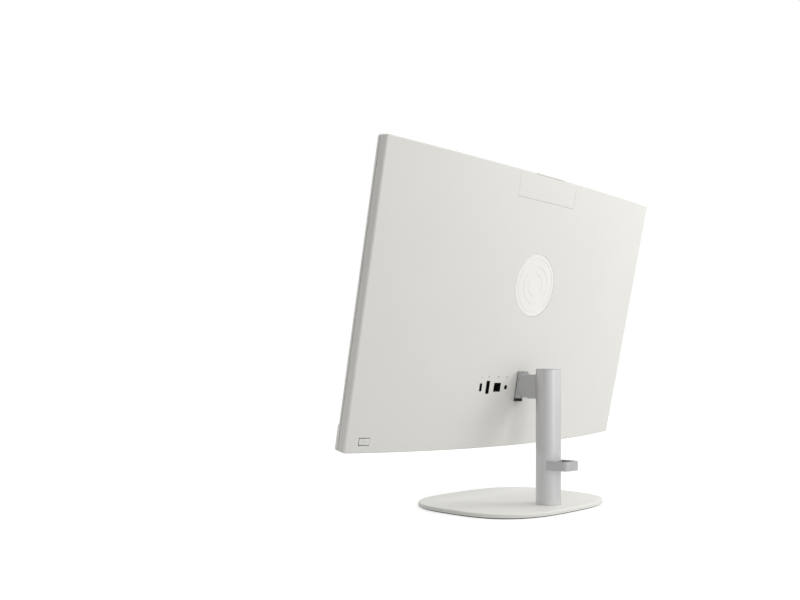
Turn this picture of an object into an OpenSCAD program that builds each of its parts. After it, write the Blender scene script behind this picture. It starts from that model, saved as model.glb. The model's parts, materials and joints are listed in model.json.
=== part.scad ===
// All-in-one desktop computer: a thin curved head with the display and the boards, carried by a
// tilt hinge on a round column and a rounded base plate. +Z is up, the display faces -Y, and the
// origin is on the table at the centre of the base. Millimetres.

/* [Head] */
// Width of the head
head_w = 539; // [500:1:560]
// Height of the head, along its own slope
head_h = 344.4; // [335:0.1:360]
// Depth of the side edge of the head
edge_d = 13.7; // [13.5:0.1:16]
// How far the chin stands proud of the front
chin_proud = 1.6; // [0.5:0.1:2]
// Height of the chin
chin_h = 29.8; // [28:0.1:30]
// Crown of the rear surface at the bottom edge
crown_low = 24.5; // [24:0.1:26]
// Crown of the rear surface at the top edge
crown_high = 17; // [17:0.1:19]
// Wall thickness of the rear cover
wall = 2.4; // [2.2:0.1:2.6]
// Radius of the round badge
badge_r = 39.4; // [20:0.1:45]
// Height of the badge's centre
badge_up = 208; // [190:1:230]

/* [Display] */
// Width of the lit area
screen_w = 527; // [510:0.5:527]
// Height of the lit area
screen_h = 296.4; // [285:0.1:298]
// Width of the black border above the lit area
border_top = 6; // [5:0.5:8]

/* [Pop-up camera] */
// Width of the camera cover
cam_cover_w = 117.8; // [110:0.1:130]
// Height of the camera cover
cam_cover_h = 31.8; // [31:0.1:36]
// Width of the cap on the camera
cam_cap_w = 57.2; // [57:0.1:70]
// Width of the camera body
cam_w = 48; // [40:1:50]

/* [Stand] */
// Tilt of the head, top leaning back
tilt = 11.59; // [5:0.01:15]
// Width of the base
base_w = 242; // [220:1:260]
// Depth of the base
base_d = 191.6; // [191:0.1:200]
// Height of the base with its foot ring
base_h = 6; // [6:0.1:8]
// Radius of the column
column_r = 15.6; // [15.6:0.1:17]
// Height of the column's top above the table
column_top = 175.3; // [175:0.1:190]
// Distance of the column's axis behind the base's centre
column_y = 57.5; // [55:0.5:58]
// Distance of the hinge axis behind the base's centre
hinge_y = 30.5; // [30:0.1:31]
// Height of the hinge axis
hinge_z = 153.2; // [152:0.1:154]
// Half width of the arm
arm_half = 10.3; // [10.3:0.1:11]

/* [Cable clip] */
// Half width of the clip's band
clip_half = 14.5; // [14.2:0.1:15]
// Height of the clip's lower edge
clip_low = 50; // [20:1:120]
// Height of the band
clip_h = 11.3; // [8:0.1:16]

/* [Hidden] */
$fn = 64;

shell_white = "#dedcd6";
seam = 0.25;                 // gap between two covers
cut = 1;                     // how far a cut runs past a face
strips = 36;                 // flat strips across the curved rear
lip = 2;                     // depth of the middle frame's side lip
cover_front = -(edge_d - lip - 0.1);
front = -edge_d;
inner_half = head_w / 2 - wall;

// Stack of the display, each value the depth of a front face
glass_y = front + 0.5;
glass_t = 1.2;
tray_y = glass_y + glass_t;
tray_t = 5.4;
chassis_t = 1.2;
chassis_y = tray_y + tray_t + 0.8;
chassis_rear = chassis_y + chassis_t;
glass_half = head_w / 2 - 4.1;
glass_low = chin_h + 0.2;
glass_high = head_h - 4.1;
screen_high = head_h - 4.1 - border_top + 3;

// Boards and sockets
board_y = 4;
board_t = 1.6;
board_face = board_y + board_t;
board_low = 56;
board_high = 232;
board_left = -108;
board_right = 104;
notch_half = 25.5;
notch_high = 118;
port_up = 77.2;
sign_up = 90.4;
usb_c = [78.1, 4.5, 10];     // [offset from the centre, width, height] of each opening
hdmi = [65.3, 6.4, 16.4];
network = [47.4, 13, 11.4];
usb_a = [[-38, 5.8, 13.6], [-51, 5.8, 13.6], [-64, 5.8, 13.6], [-77, 5.8, 13.6]];
dc_x = 30.8;
dc_r = 2.95;
audio_x = -29;
audio_r = 1.8;
audio_depth = 14.6;
nose_round = 3.2;            // round nose of the audio jack, through the rear cover
socket_wall = 0.9;
socket_depth = 11;

// Speaker grille in the chin
grille_half = 190;
grille_low = 11.5;
grille_high = 19.5;

// Power key, cut out of the lower corner of the rear cover
key_in = 237.9;
key_out = 251.6;
key_low = 9.8;
key_high = 17.2;
slit = 0.75;
key_t = 1.6;

// Cooler
blower_x = -76;
blower_z = 178;
blower_half = 33;
blower_y = board_face + 0.2;
blower_t = 8;
rotor_r = 26;
pipe_r = 2.5;
pipe_y = board_face + 3.2 + pipe_r;
pipe_up = 224;
fin_left = -105;
fin_right = -46.9;

// Pop-up camera
cam_cap_t = 1.1;
cam_low = head_h - 27.4;
cam_front = -1.7;
cam_rear = 11.7;
cam_wall = 1.6;
cap_front = -4.3;
cap_rear = crown_high - 0.2;
cam_cover_front = cap_front - 0.3;

// Hinge
hinge_back = 38.4;           // from the head's rear edge plane to the axis
hinge_up = 81.8;             // from the head's bottom edge to the axis
nose_r = 14.4;
seat_r = 14.75;
pin_r = 3;
ear_in = 5.5;
ear_t = 2;
ear_r = 7;
ear_mid = ear_in + ear_t / 2;
slot_half = 1.7;             // half width of the arm's slot for an ear
slot_in = ear_mid - slot_half;
slot_out = ear_mid + slot_half;
cover_t = 1;                 // side covers of the arm
boot_t = 0.9;
web_half = 8.9;
web_low = 66.6;
web_high = 96.6;

// Column, arm and clip
arm_above = 14.8;
arm_below = 15.6;
arm_screw_z = [hinge_z - 9, hinge_z + 9];
tube_t = 2;
bore_r = column_r - tube_t;
band_t = 2;
clip_rear = 37.1;
clip_corner = 7;
clip_front = 6.6;
saddle_t = 1.6;
screw_r = 4;

// Base
foot_t = 1.2;
foot_in = 2.2;
foot_band = 14;
base_power = 2.96;           // exponent of the rounded outline
plate_low = 1.3;
plate_t = 2.9;
plate_in = 3.4;

function crown(z) = crown_low + (crown_high - crown_low) * z / head_h;
function rear_at(x, z) = crown(z) * (1 - pow(2 * x / head_w, 2));

// Puts the head's own frame (y = 0 at the rear edge, z = 0 at the bottom edge) on the hinge.
module head() {
    translate([0, hinge_y, hinge_z]) rotate([-tilt, 0, 0])
        translate([0, -hinge_back, -hinge_up]) children();
}

// Box from two corners.
module block(low, high) {
    translate(low) cube(high - low);
}

// Extrudes a side outline (drawn as y, z) across X, centred.
module across(width) {
    rotate([90, 0, 90]) linear_extrude(width, center = true) children();
}

// Cylinder along +Y from y0 to y1.
module rod_y(x, z, r, y0, y1) {
    translate([x, y1, z]) rotate([90, 0, 0]) cylinder(h = y1 - y0, r = r);
}

// Cylinder along X, centred on x.
module rod_x(x, y, z, r, length) {
    translate([x, y, z]) rotate([0, 90, 0]) cylinder(h = length, r = r, center = true);
}

// Cylinder along +Z.
module rod_z(x, y, z, r, length) {
    translate([x, y, z]) cylinder(h = length, r = r);
}

// Solid inside the rear cover's outer surface, shrunk by inset on the five closed sides.
module cover_volume(inset = 0, front_y = cover_front) {
    half = head_w / 2 - inset;
    low = inset;
    high = head_h - inset;
    xs = [for (i = [0:strips]) -half + 2 * half * i / strips];
    n = strips + 1;
    corners = [[-half, front_y, low], [half, front_y, low],
        [-half, front_y, high], [half, front_y, high]];
    polyhedron(
        points = concat(
            [for (x = xs) [x, rear_at(x, low) - inset, low]],
            [for (x = xs) [x, rear_at(x, high) - inset, high]],
            corners),
        faces = concat(
            [for (i = [0:strips - 1]) [i, i + 1, n + i + 1]],
            [for (i = [0:strips - 1]) [i, n + i + 1, n + i]],
            [concat([2 * n, 2 * n + 1], [for (i = [n - 1:-1:0]) i])],
            [concat([2 * n + 2], [for (i = [0:n - 1]) n + i], [2 * n + 3])],
            [[2 * n, 2 * n + 2, 2 * n + 3, 2 * n + 1]],
            [[2 * n, 0, n, 2 * n + 2]],
            [[2 * n + 1, 2 * n + 3, 2 * n - 1, n - 1]]),
        convexity = 4);
}

module cover_shell() {
    difference() {
        cover_volume();
        cover_volume(wall, cover_front - cut);
    }
}

// Opening of one socket through the rear cover.
module port_cut(port) {
    block([port[0] - port[1] / 2, board_face, port_up - port[2] / 2],
        [port[0] + port[1] / 2, crown_low + cut, port_up + port[2] / 2]);
}

// Row of vent slots through the top or the bottom wall.
module vent_slots(low, high) {
    slot_w = 2.4;
    pitch = 7;
    for (side = [-1, 1])
        for (i = [0:15])
            translate([side * (85 + i * pitch) - slot_w / 2, -7, low]) cube([slot_w, 9, high - low]);
}

module rear_cover() {
    color(shell_white) head() difference() {
        cover_shell();
        block([-cam_cover_w / 2 - seam, cam_cover_front - seam, head_h - cam_cover_h - seam],
            [cam_cover_w / 2 + seam, crown_low, head_h + cut]);
        difference() {
            rod_y(0, badge_up, badge_r + 0.15, 0, crown_low + cut);
            cover_volume(1);
        }
        port_cut(usb_c);
        port_cut(hdmi);
        port_cut(network);
        for (port = usb_a) port_cut(port);
        rod_y(dc_x, port_up, dc_r, board_face, crown_low + cut);
        rod_y(audio_x, port_up, nose_round + 0.15, board_face, crown_low + cut);
        block([-web_half - seam, 0, web_low - seam],
            [web_half + seam, crown_low + cut, web_high + seam]);
        block([key_in - 0.12, -1.8, key_low - slit], [key_out + slit, crown_low, key_high + slit]);
        vent_slots(-cut, wall + cut);
        vent_slots(head_h - wall - cut, head_h + cut);
        for (x = [-200, 0, 200]) {
            translate([x, -4, -cut]) cylinder(h = wall + 2 * cut, r = 1.4);
            translate([x, -4, -cut]) cylinder(h = cut + 1.2, r = 2.8);
        }
    }
}

module camera_cover() {
    color(shell_white) head() difference() {
        intersection() {
            cover_shell();
            block([-cam_cover_w / 2, cam_cover_front, head_h - cam_cover_h],
                [cam_cover_w / 2, crown_low, head_h + cut]);
        }
        block([-cam_cap_w / 2 - seam, cam_cover_front - cut, head_h - cam_cap_t - seam],
            [cam_cap_w / 2 + seam, crown_low, head_h + cut]);
        block([-cam_w / 2 - 0.4, cam_front - 0.8, head_h - wall - cut],
            [cam_w / 2 + 0.4, cam_rear + 0.4, head_h + cut]);
    }
}

module badge_disc() {
    color("#e9e7e1") head() intersection() {
        difference() {
            cover_volume(-0.3);
            cover_volume(1);
        }
        rod_y(0, badge_up, badge_r, 0, crown_low + cut);
    }
}

module middle_frame() {
    color("#d6d4ce") head() difference() {
        union() {
            block([-head_w / 2, front, chin_h + 0.1], [head_w / 2, front + lip, head_h]);
            block([-inner_half + 0.1, front, chin_h + 0.1],
                [inner_half - 0.1, chassis_y, head_h - wall - 0.1]);
        }
        block([-glass_half - 0.1, front - cut, glass_low],
            [glass_half + 0.1, chassis_y + cut, glass_high + 0.1]);
        block([-glass_half - 0.1, tray_y, chin_h - cut],
            [glass_half + 0.1, chassis_y + cut, glass_high + 0.1]);
    }
}

module lcd_panel() {
    color("#101215") head() block([-screen_w / 2, glass_y, screen_high - screen_h],
        [screen_w / 2, glass_y + glass_t, screen_high]);
}

module lcd_border() {
    color("#08090a") head() difference() {
        block([-glass_half, glass_y, glass_low], [glass_half, glass_y + glass_t, glass_high]);
        block([-screen_w / 2, glass_y - cut, screen_high - screen_h],
            [screen_w / 2, glass_y + glass_t + cut, screen_high]);
    }
}

module backlight_tray() {
    color("#b4b6b8") head()
        block([-glass_half, tray_y, glass_low], [glass_half, tray_y + tray_t, glass_high]);
}

module chin_cover() {
    boss_half = 5;
    color("#d9d7d1") head() difference() {
        union() {
            block([-head_w / 2, front - chin_proud, 0], [head_w / 2, cover_front - 0.1, chin_h]);
            for (x = [-200, 0, 200])
                block([x - boss_half, cover_front - 0.1, wall + 0.1], [x + boss_half, 1, wall + 8]);
        }
        block([-grille_half, front - chin_proud - cut, grille_low],
            [grille_half, cover_front + cut, grille_high]);
        for (x = [-200, 0, 200]) translate([x, -4, 0]) cylinder(h = wall + 8 + cut, r = 1.1);
    }
}

module speaker_grille() {
    pitch = 8;
    count = 22;
    color("#5b5d5f") head() difference() {
        block([-grille_half, front - chin_proud + 0.4, grille_low],
            [grille_half, cover_front - 0.1, grille_high]);
        for (side = [-1, 1])
            for (i = [0:count - 1])
                block([side * (16 + i * pitch) - 2.5, front - chin_proud - cut, grille_low + 2],
                    [side * (16 + i * pitch) + 2.5, cover_front + cut, grille_high - 2]);
    }
}

// Speaker box with a round driver behind the grille.
module speaker(side) {
    x0 = side * 120;
    head() {
        color("#26282a") difference() {
            block([x0 - 42, cover_front + 0.2, wall + 9], [x0 + 42, -1, chin_h - 1]);
            rod_y(x0, 19.5, 8, cover_front - cut, cover_front + 5);
        }
        color("#3c3e40") rod_y(x0, 19.5, 7.2, cover_front + 2, cover_front + 5.2);
    }
}

module speaker_left() speaker(-1);

module speaker_right() speaker(1);

module chassis_plate() {
    stiffeners = [-180, 180];
    color("#a3a6a9") head() difference() {
        union() {
            block([-258, chassis_y, chin_h + 4], [258, chassis_rear, head_h - 8]);
            for (x = stiffeners)
                block([x - 6, chassis_y, 60], [x + 6, chassis_rear + 3, head_h - 40]);
            for (x = [board_left + 6, board_right - 6], z = [board_low + 6, board_high - 6])
                rod_y(x, z, 3, chassis_y, board_y);
        }
        for (x = stiffeners, z = [100, 180, 260])
            rod_y(x, z, 1.6, chassis_y - cut, chassis_rear + 3 + cut);
        for (x = [-18, 18], z = [62, 104])
            rod_y(x, z, 2, chassis_y - cut, chassis_rear + cut);
    }
}

module motherboard() {
    color("#1d5c3a") head() difference() {
        block([board_left, board_y, board_low], [board_right, board_face, board_high]);
        block([-notch_half, board_y - cut, board_low - cut],
            [notch_half, board_face + cut, notch_high]);
    }
}

module cpu_heat_plate() {
    color("#b87647") head() block([-12, board_face, 150], [32, board_face + 3.2, 194]);
}

// Heat pipe from the processor up and across the fins, with one round elbow.
module heat_pipe() {
    bend = 14;
    foot = 152;
    x = 10;
    color("#c07f4e") head() {
        translate([x, pipe_y, foot]) cylinder(h = pipe_up - bend - foot, r = pipe_r);
        translate([x - bend, pipe_y, pipe_up - bend]) rotate([90, 0, 0])
            rotate_extrude(angle = 90) translate([bend, 0]) circle(r = pipe_r);
        rod_x((x - bend + fin_left) / 2, pipe_y, pipe_up, pipe_r, x - bend - fin_left);
    }
}

module fin_stack() {
    pitch = 2.5;
    fin_t = 0.6;
    fin_h = 7.2;
    low = 212;
    high = 230;
    base = board_face + 0.4;
    color("#c9ccce") head() difference() {
        union() {
            block([fin_left, base, low], [fin_right, base + 0.8, high]);
            for (x = [fin_left:pitch:fin_right - fin_t])
                block([x, base, low], [x + fin_t, base + fin_h, high]);
        }
        rod_x((fin_left + fin_right) / 2, pipe_y, pipe_up, pipe_r, fin_right - fin_left + 2 * cut);
    }
}

module blower_housing() {
    low = blower_z - blower_half;
    high = blower_z + blower_half;
    color("#222426") head() {
        difference() {
            block([blower_x - blower_half, blower_y, low],
                [blower_x + blower_half, blower_y + blower_t, high]);
            rod_y(blower_x, blower_z, rotor_r + 2, blower_y + 1, blower_y + blower_t - 1);
            rod_y(blower_x, blower_z, 19, blower_y + 2, blower_y + blower_t + cut);
            block([blower_x - rotor_r, blower_y + 1, blower_z],
                [blower_x + rotor_r, blower_y + blower_t - 1, high + cut]);
        }
        rod_y(blower_x, blower_z, 1.5, blower_y + 0.8, blower_y + 7);
    }
}

module fan_impeller() {
    blades = 17;
    low = blower_y + 1.6;
    high = blower_y + blower_t - 1.6;
    color("#2f3234") head() difference() {
        union() {
            rod_y(blower_x, blower_z, 12, low, high);
            rod_y(blower_x, blower_z, rotor_r, low, low + 0.8);
            translate([blower_x, 0, blower_z])
                for (i = [0:blades - 1]) rotate([0, i * 360 / blades, 0])
                    block([10, low + 0.4, -0.5], [rotor_r - 0.5, high - 0.2, 0.5]);
        }
        rod_y(blower_x, blower_z, 1.55, low - cut, high + cut);
    }
}

module memory_modules() {
    color("#2a6b45") head() for (i = [0, 1])
        block([34, board_face + 1 + i * 3.4, 200 - i * 2],
            [101, board_face + 2.2 + i * 3.4, 230 - i * 2]);
}

module ssd_card() {
    color("#24563c") head() block([-106, board_face + 1, 60], [-84, board_face + 2.8, 140]);
}

module wifi_card() {
    color("#30785a") head() block([56, board_face + 1, 150], [78, board_face + 2.6, 180]);
}

module coin_cell() {
    color("#c3c5c7") head() rod_y(88, 130, 10, board_face, board_face + 3.2);
}

module antennas() {
    color("#d9a441") head() for (x = [-110, 110])
        block([x - 18, chassis_rear, 318], [x + 18, chassis_rear + 0.8, 330]);
}

// Flat ribbon from the board over its upper edge and down to the back of the chassis.
module display_cable() {
    ribbon_t = 0.4;
    color("#d7c9a0") head() {
        block([-10, board_face, board_high - 12], [14, board_face + ribbon_t, board_high + 4]);
        block([-10, chassis_rear, board_high + 4],
            [14, board_face + ribbon_t, board_high + 4 + ribbon_t]);
        block([-10, chassis_rear, board_high + 4], [14, chassis_rear + ribbon_t, board_high + 40]);
    }
}

// Hollow socket that stands on the board and ends just inside the rear cover.
module socket(port, tongue_w, tongue_h, tongue_x = 0) {
    end = rear_at(abs(port[0]) + port[1] / 2 + socket_wall, port_up + port[2] / 2) - wall - 0.2;
    low = [port[0] - port[1] / 2, 0, port_up - port[2] / 2];
    high = [port[0] + port[1] / 2, 0, port_up + port[2] / 2];
    shell = [socket_wall, 0, socket_wall];
    difference() {
        block(low - shell + [0, board_face, 0], high + shell + [0, end, 0]);
        block(low + [0, end - socket_depth, 0], high + [0, end + cut, 0]);
    }
    if (tongue_w > 0)
        block([port[0] + tongue_x - tongue_w / 2, end - socket_depth, port_up - tongue_h / 2],
            [port[0] + tongue_x + tongue_w / 2, end - 2, port_up + tongue_h / 2]);
}

module usb_c_socket() {
    color("#141517") head() socket(usb_c, 0.8, 7);
}

module hdmi_socket() {
    color("#141517") head() socket(hdmi, 1.2, 11.5);
}

module network_socket() {
    color("#141517") head() socket(network, 0, 0);
}

module usb_a_sockets() {
    color("#141517") head() for (port = usb_a) socket(port, 1.9, 11.4, -1);
}

module dc_jack() {
    end = rear_at(dc_x + 5, port_up + 5) - wall - 0.2;
    color("#141517") head() {
        difference() {
            block([dc_x - 4.2, board_face, port_up - 4.2], [dc_x + 4.2, end, port_up + 4.2]);
            rod_y(dc_x, port_up, 2.7, end - socket_depth, end + cut);
        }
        rod_y(dc_x, port_up, 0.5, end - socket_depth, end - 2);
    }
}

module audio_jack() {
    end = rear_at(audio_x - 4, port_up + 5) - wall - 0.2;
    nose_end = rear_at(audio_x, port_up) - 0.1;
    color("#141517") head() difference() {
        union() {
            block([audio_x - 3.6, board_face, port_up - 3.6], [audio_x + 3.6, end, port_up + 3.6]);
            rod_y(audio_x, port_up, nose_round, end - 1, nose_end);
        }
        rod_y(audio_x, port_up, audio_r, nose_end - audio_depth, nose_end + cut);
    }
}

// Thin printed signs that follow the rear surface: bars over most sockets, rings over the round ones.
module port_signs() {
    sign_t = 0.15;
    bars = [[usb_c[0], 1], [hdmi[0], 2], [network[0], 3], [usb_a[0][0], 1], [usb_a[1][0], 1],
        [usb_a[2][0], 1], [usb_a[3][0], 1]];
    color("#8d8f90") head() intersection() {
        difference() {
            translate([0, sign_t, 0]) cover_volume();
            cover_volume();
        }
        union() {
            for (sign = bars)
                for (i = [0:sign[1] - 1])
                    block([sign[0] - 1.6, 0, sign_up - 0.9 + i * 0.9],
                        [sign[0] + 1.6, crown_low + cut, sign_up - 0.5 + i * 0.9]);
            for (x = [dc_x, audio_x])
                difference() {
                    rod_y(x, sign_up, 1.3, 0, crown_low + cut);
                    rod_y(x, sign_up, 0.9, -cut, crown_low + 2 * cut);
                }
        }
    }
}

module button_board() {
    color("#1d5c3a") head() {
        block([234, -4.6, wall + 2.5], [256, -3.6, 24]);
        block([242, -3.6, key_low + 1.2], [248, -1.9, key_high - 1.2]);
    }
}

module power_button() {
    mid = (key_low + key_high) / 2;
    color(shell_white) head() {
        intersection() {
            block([key_in, -cut, key_low], [key_out, crown_low, key_high]);
            difference() {
                cover_volume();
                translate([0, -key_t, 0]) cover_volume();
            }
        }
        rod_y(245, mid, 1.4, -0.9, 2.8);
    }
}

module camera_rails() {
    color("#3a3c3e") head() {
        block([-32, chassis_rear, head_h - 46], [32, cam_front - 0.3, head_h - 8]);
        for (side = [-1, 1])
            block([side * (cam_w / 2 + 2) - 1.6, cam_front - 0.3, head_h - 34],
                [side * (cam_w / 2 + 2) + 1.6, cam_rear, head_h - 6]);
    }
}

module camera_latch() {
    color("#55585a") head() {
        block([-9, cam_front - 0.3, cam_low - 16], [9, cam_rear - 3, cam_low - 4]);
        rod_z(0, 4, cam_low - 4, 2, 3.7);
    }
}

module camera_body() {
    color("#dcdad4") head() difference() {
        block([-cam_w / 2, cam_front, cam_low], [cam_w / 2, cam_rear, head_h - cam_cap_t]);
        block([-cam_w / 2 + cam_wall, cam_front + cam_wall, cam_low + cam_wall],
            [cam_w / 2 - cam_wall, cam_rear + cut, head_h - cam_cap_t - cam_wall]);
        rod_y(0, head_h - 9, 3.2, cam_front - cut, cam_front + cam_wall + cut);
    }
}

module camera_back() {
    color("#dcdad4") head() block([-cam_w / 2 + cam_wall, cam_rear - 1.4, cam_low + cam_wall],
        [cam_w / 2 - cam_wall, cam_rear, head_h - cam_cap_t - cam_wall]);
}

module camera_cap() {
    color(shell_white) head() block([-cam_cap_w / 2, cap_front, head_h - cam_cap_t],
        [cam_cap_w / 2, cap_rear, head_h + 0.2]);
}

module camera_lens() {
    color("#15171c") head() {
        rod_y(0, head_h - 9, 3.2, cam_front - 0.2, cam_front + cam_wall);
        rod_y(0, head_h - 9, 4.6, cam_front + cam_wall, cam_front + cam_wall + 3);
    }
}

module camera_board() {
    board = cam_front + cam_wall + 3;
    color("#1d5c3a") head() block([-20, board, cam_low + 4], [20, board + 1, head_h - 4]);
}

// Steel plate on the chassis with two ears that reach back to the pin.
module hinge_plate() {
    plate_t2 = 2.5;
    color("#8b8e91") head() difference() {
        union() {
            block([-24, chassis_rear, 56], [24, chassis_rear + plate_t2, 110]);
            for (side = [-1, 1]) {
                block([side * ear_mid - ear_t / 2, chassis_rear + plate_t2, hinge_up - ear_r],
                    [side * ear_mid + ear_t / 2, hinge_back, hinge_up + ear_r]);
                rod_x(side * ear_mid, hinge_back, hinge_up, ear_r, ear_t);
            }
        }
        rod_x(0, hinge_back, hinge_up, pin_r + 0.05, 2 * slot_out);
        for (x = [-18, 18], z = [62, 104])
            rod_y(x, z, 2, chassis_rear - cut, chassis_rear + plate_t2 + cut);
    }
}

// The hinge outlines below are drawn as y, z in the head's frame. This puts a level outline,
// drawn from the axis, where it lies when the head is at its stored tilt.
module from_axis() {
    translate([hinge_back, hinge_up]) rotate(tilt) children();
}

// Half plane in front of a line that runs gap behind the middle of the rear surface.
module ahead_of_rear(gap) {
    polygon([[-40, 0], [crown(0) + gap, 0], [crown(head_h) + gap, head_h], [-40, head_h]]);
}

// Slice of a side outline, t thick, whose outer face lies inset inside the arm's +X side.
module near_side(t, inset = 0) {
    translate([arm_half - inset - t / 2, 0, 0]) across(t) children();
}

// Grey shroud that tilts with the head: a block with a round seat for the arm's nose, on a neck
// that reaches in through the rear cover, with a thin cheek and its tab on the +X side.
module hinge_shroud() {
    reach = 11.5;
    cheek_t = 1.6;
    tab_end = -0.3;
    tab_low = 16;
    tab_high = 18.9;
    tab_round = 1.5;
    shelf = -7.1;
    body_low = -14.3;
    body_high = 14.2;
    cheek_low = -15.5;
    horn_end = -6.5;
    ear_gap = 0.15;
    color("#8f9092") head() difference() {
        union() {
            across(2 * arm_half) difference() {
                from_axis() polygon([[-30, body_low], [horn_end, body_low], [horn_end, 0], [shelf, 0],
                    [shelf, body_high], [-30, body_high]]);
                ahead_of_rear(boot_t);
            }
            near_side(cheek_t) difference() {
                from_axis() polygon([[-30, cheek_low], [horn_end, cheek_low], [horn_end, 0], [shelf, 0],
                    [shelf, tab_low], [tab_end, tab_low], [tab_end, tab_high - tab_round],
                    [tab_end - tab_round, tab_high], [-30, tab_high]]);
                ahead_of_rear(boot_t);
            }
            block([-web_half, reach, web_low], [web_half, crown_low + 2, web_high]);
        }
        rod_x(0, hinge_back, hinge_up, seat_r, 3 * arm_half);
        for (side = [-1, 1])
            block([side * ear_mid - ear_t / 2 - ear_gap, reach - cut, hinge_up - ear_r - 2 * ear_gap],
                [side * ear_mid + ear_t / 2 + ear_gap, hinge_back, hinge_up + ear_r + 2 * ear_gap]);
    }
}

// Black plastic boot between the rear cover and the shroud, with a thin foot below the cheek.
module hinge_boot() {
    foot_low = -19.3;
    foot_high = -15.55;
    foot_end = -8;
    foot_w = 2.4;
    plate_low = 67.4;
    plate_high = 97.4;
    toe = 62;
    color("#0d0d0e") head() difference() {
        union() {
            across(2 * arm_half - 0.4) difference() {
                polygon([[0, plate_low], [crown(plate_low) + boot_t - 0.02, plate_low],
                    [crown(plate_high) + boot_t - 0.02, plate_high], [0, plate_high]]);
                ahead_of_rear(0.05);
            }
            near_side(foot_w, 0.2) difference() {
                union() {
                    from_axis() polygon([[-30, foot_low], [foot_end, foot_low], [foot_end, foot_high],
                        [-30, foot_high]]);
                    polygon([[0, toe], [crown(toe) + boot_t - 0.02, toe],
                        [crown(plate_low) + boot_t - 0.02, plate_low + 1], [0, plate_low + 1]]);
                }
                ahead_of_rear(0.05);
            }
        }
        block([-web_half - 0.05, 0, web_low - 0.05], [web_half + 0.05, crown_low + 8, web_high + 0.05]);
    }
}

module hinge_screws() {
    color("#6d7073") head() for (x = [-18, 18], z = [62, 104]) {
        rod_y(x, z, 2, chassis_y, chassis_rear + 2.5);
        rod_y(x, z, 3.6, chassis_rear + 2.5, chassis_rear + 4.9);
    }
}

module cover_screws() {
    color("#6d7073") head() for (x = [-200, 0, 200]) {
        rod_z(x, -4, 0.1, 2.6, 1);
        rod_z(x, -4, 1.1, 1.1, 8);
    }
}

// Side outline of the arm: a round nose on the axis, then a deeper beam back to the column.
module arm_outline() {
    circle(r = nose_r);
    step = 2;
    polygon([[0, -nose_r], [step, -nose_r], [step, -arm_below], [column_y - hinge_y, -arm_below],
        [column_y - hinge_y, arm_above], [step, arm_above], [step, nose_r], [0, nose_r]]);
}

module at_axis() {
    translate([0, hinge_y, hinge_z]) children();
}

module column_volume(r) {
    translate([0, column_y, base_h]) cylinder(h = column_top - base_h, r = r);
}

module arm() {
    core = 2 * (arm_half - cover_t);
    slot_reach = 8;
    color("#8f9092") difference() {
        at_axis() across(core) arm_outline();
        column_volume(column_r);
        at_axis() {
            for (side = [-1, 1])
                block([side * ear_mid - slot_half, -nose_r - cut, -arm_below - cut],
                    [side * ear_mid + slot_half, slot_reach, arm_above + cut]);
            rod_x(0, 0, 0, pin_r, core + cut);
        }
        for (z = arm_screw_z) rod_y(0, z, 2.4, column_y - 26, column_y);
    }
}

module arm_side_covers() {
    color("#8f9092") difference() {
        at_axis() for (side = [-1, 1])
            translate([side * (arm_half - cover_t / 2), 0, 0]) across(cover_t) arm_outline();
        column_volume(column_r);
    }
}

module arm_screws() {
    color("#6d7073") for (z = arm_screw_z) {
        rod_y(0, z, 2.4, column_y - 26, column_y - bore_r + 0.8);
        rod_y(0, z, 4, column_y - bore_r + 0.8, column_y - bore_r + 3.6);
    }
}

module hinge_pin() {
    color("#b9bcbe") rod_x(0, hinge_y, hinge_z, pin_r, 2 * (arm_half - cover_t));
}

module friction_washers() {
    washer_t = 0.5;
    color("#c9b27a") for (side = [-1, 1], x = [slot_in + washer_t / 2, slot_out - washer_t / 2])
        difference() {
            rod_x(side * x, hinge_y, hinge_z, 6, washer_t);
            rod_x(side * x, hinge_y, hinge_z, pin_r, 2 * washer_t);
        }
}

module column_tube() {
    color("#b9babb") difference() {
        translate([0, column_y, base_h]) cylinder(h = column_top - 0.9 - base_h, r = column_r);
        column_volume(bore_r);
        for (z = arm_screw_z) rod_y(0, z, 2.4, column_y - column_r - cut, column_y);
        rod_y(0, clip_low + clip_h / 2, 1.6, column_y, column_y + column_r + cut);
    }
}

module column_cap() {
    color("#c6c7c8") translate([0, column_y, 0]) {
        rod_z(0, 0, column_top - 6, bore_r, 5.1);
        translate([0, 0, column_top - 0.9]) cylinder(h = 0.4, r = column_r - 0.1);
        translate([0, 0, column_top - 0.5]) cylinder(h = 0.5, r1 = column_r - 0.1, r2 = column_r - 0.6);
    }
}

module column_foot() {
    color("#7e8183") difference() {
        translate([0, column_y, base_h]) cylinder(h = 26, r = bore_r);
        translate([0, column_y, base_h - cut]) cylinder(h = 18, r = screw_r);
    }
}

module base_screw() {
    color("#6d7073") translate([0, column_y, 0]) {
        rod_z(0, 0, plate_low, 7, 1.8);
        rod_z(0, 0, plate_low + 1.8, screw_r, 18);
    }
}

// Rounded outline of the base, a superellipse drawn inset from its full size.
module base_outline(inset) {
    steps = 96;
    half_w = base_w / 2 - inset;
    half_d = base_d / 2 - inset;
    polygon([for (i = [0:steps - 1])
        let (a = i * 360 / steps, c = cos(a), s = sin(a))
            [half_w * sign(c) * pow(abs(c), 2 / base_power),
                half_d * sign(s) * pow(abs(s), 2 / base_power)]]);
}

module base_cover() {
    color(shell_white) difference() {
        translate([0, 0, foot_t]) linear_extrude(base_h - foot_t) base_outline(0);
        translate([0, 0, foot_t - cut])
            linear_extrude(plate_low + plate_t - foot_t + cut) base_outline(plate_in);
        translate([0, column_y, 0]) cylinder(h = base_h + cut, r = screw_r + 0.2);
    }
}

module base_weight() {
    color("#86898b") difference() {
        translate([0, 0, plate_low]) linear_extrude(plate_t) base_outline(plate_in + 0.2);
        translate([0, column_y, 0]) cylinder(h = base_h, r = screw_r + 0.2);
        translate([0, column_y, 0]) cylinder(h = plate_low + 1.8, r = 7.2);
    }
}

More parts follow.
